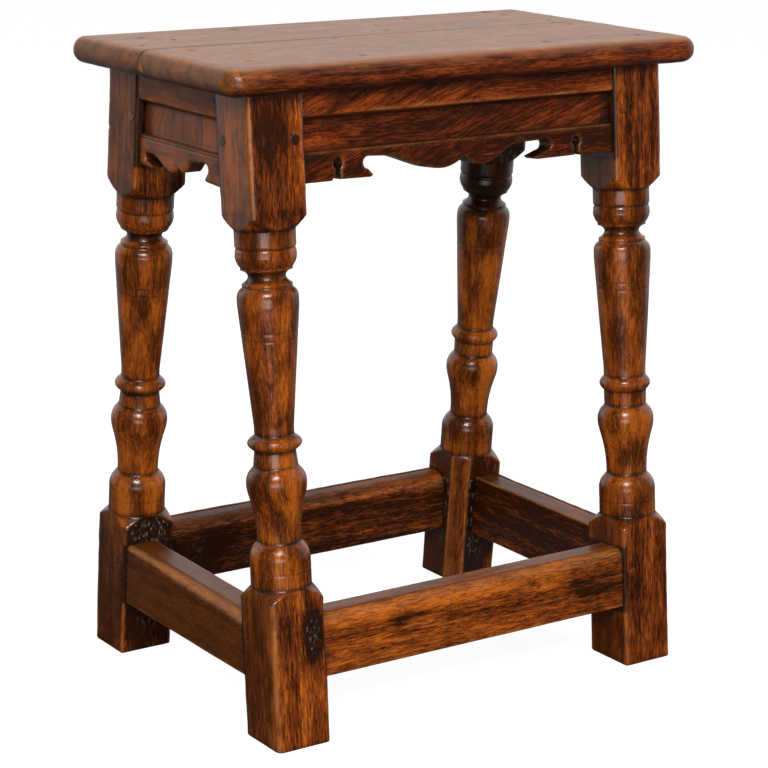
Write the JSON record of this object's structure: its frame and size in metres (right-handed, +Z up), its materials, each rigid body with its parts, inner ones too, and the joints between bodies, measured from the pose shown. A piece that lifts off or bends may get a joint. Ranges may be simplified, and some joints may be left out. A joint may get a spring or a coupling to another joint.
{
  "type": "joint stool",
  "caption": "Oblong oak joint stool: pegged top with rounded edges over splayed turned legs, scroll-cut moulded aprons and plain stretchers near the floor.",
  "frame": {"origin": "on the floor, under the middle of the seat: the bottom centre of the bounding box", "axes": "+Z up; X along the seat, the front apron and the front stretcher; -Y is the front of the stool, and the legs splay only along Y"},
  "size_m": [0.46, 0.31, 0.537],
  "materials": {
    "leg_oak": "old dark oak, waxed, worn pale on the arrises",
    "apron_oak": "old dark oak, waxed, dark in the recesses",
    "stretcher_oak": "old dark oak, waxed, dulled by feet",
    "top_oak": "old dark oak, waxed to a satin gloss",
    "peg_oak": "riven oak end grain, dark"
  },
  "bodies": {
    "root": {"front_left_leg": "leg_oak", "front_right_leg": "leg_oak", "rear_left_leg": "leg_oak", "rear_right_leg": "leg_oak", "front_apron": "apron_oak", "rear_apron": "apron_oak", "left_apron": "apron_oak", "right_apron": "apron_oak", "front_stretcher": "stretcher_oak", "rear_stretcher": "stretcher_oak", "left_stretcher": "stretcher_oak", "right_stretcher": "stretcher_oak", "front_top_board": "top_oak", "rear_top_board": "top_oak", "front_apron_pegs": "peg_oak", "front_stretcher_pegs": "peg_oak", "rear_apron_pegs": "peg_oak", "rear_stretcher_pegs": "peg_oak", "left_apron_pegs": "peg_oak", "left_stretcher_pegs": "peg_oak", "right_apron_pegs": "peg_oak", "right_stretcher_pegs": "peg_oak", "top_pegs": "peg_oak"}
  },
  "joints": []
}
